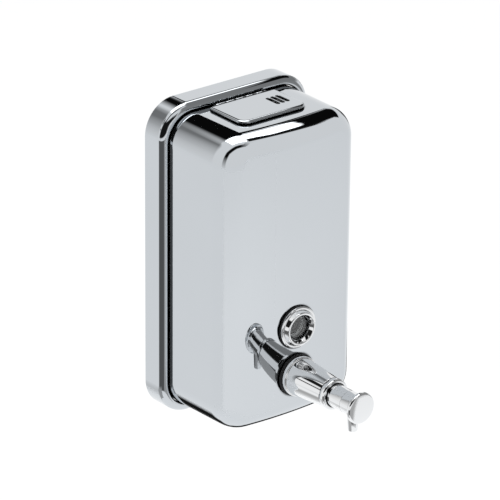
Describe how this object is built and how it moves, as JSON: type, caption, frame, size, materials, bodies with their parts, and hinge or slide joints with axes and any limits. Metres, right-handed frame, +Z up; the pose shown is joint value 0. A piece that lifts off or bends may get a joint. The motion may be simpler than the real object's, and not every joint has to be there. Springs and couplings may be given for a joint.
{
  "type": "soap dispenser",
  "caption": "Wall-mounted polished steel soap tank in a wider back pan, with a hinged key-locked filling lid, a round sight window and a horizontal push valve with a spout.",
  "frame": {"origin": "middle of the wall plane behind the dispenser, on the wall bracket's back face", "axes": "+Y into the wall, so the front faces -Y; +Z up; +X to the right of someone facing the dispenser"},
  "size_m": [0.118, 0.1423, 0.2125],
  "materials": {
    "polished_steel": "polished stainless steel",
    "plain_steel": "plain rolled or turned steel",
    "spring_steel": "bright spring steel",
    "chrome": "bright chrome plating",
    "black_rubber": "matt black rubber",
    "white_plastic": "moulded natural white plastic",
    "clear_plastic": "clear moulded plastic"
  },
  "bodies": {
    "root": {"tank_shell": "polished_steel", "back_pan": "polished_steel", "back_plate": "plain_steel", "hanger_rail": "plain_steel", "wall_bracket": "plain_steel", "lock_screw": "plain_steel", "hinge_leaf": "polished_steel", "hinge_pin": "plain_steel", "window_gasket": "black_rubber", "window_bezel": "chrome", "window_lens": "clear_plastic", "window_seal": "black_rubber", "window_retainer": "white_plastic", "window_inner_washer": "black_rubber", "window_nut": "plain_steel", "valve_washer": "black_rubber", "valve_barrel": "chrome", "valve_inner_washer": "black_rubber", "valve_nut": "plain_steel", "barrel_collar": "chrome", "collar_seal": "black_rubber", "return_spring": "spring_steel", "inlet_housing": "white_plastic", "inlet_seat": "white_plastic"},
    "lid": {"lid": "polished_steel"},
    "latch": {"latch_spring": "spring_steel"},
    "plunger": {"plunger": "chrome", "push_head": "chrome", "piston": "white_plastic", "piston_seal": "black_rubber", "outlet_spring": "spring_steel"},
    "outlet_ball": {"outlet_ball": "plain_steel"},
    "inlet_ball": {"inlet_ball": "plain_steel"}
  },
  "joints": [
    {"name": "lid_hinge", "type": "hinge", "parent": "root", "child": "lid", "pos_m": [0, -0.02125, 0.10075], "axis": [-1, 0, 0], "range_deg": [0, 100], "deforming": ["latch_spring"]},
    {"name": "latch_flex", "type": "hinge", "parent": "lid", "child": "latch", "pos_m": [-0.004, -0.0382, 0.1003], "axis": [0, 1, 0], "range_deg": [0, 8], "stiffness_Nm_per_rad": 1.2, "springref_deg": -8.59, "deforming": ["latch_spring"]},
    {"name": "plunger_slide", "type": "slide", "parent": "root", "child": "plunger", "axis": [0, 1, 0], "range_m": [0, 0.0115], "stiffness_N_per_m": 500, "springref_m": -0.01, "deforming": ["return_spring"]},
    {"name": "outlet_ball_lift", "type": "slide", "parent": "plunger", "child": "outlet_ball", "axis": [0, -1, 0], "range_m": [0, 0.0015], "stiffness_N_per_m": 60, "springref_m": -0.003, "deforming": ["outlet_spring"]},
    {"name": "inlet_ball_lift", "type": "slide", "parent": "root", "child": "inlet_ball", "axis": [0, 0, 1], "range_m": [0, 0.002]}
  ]
}
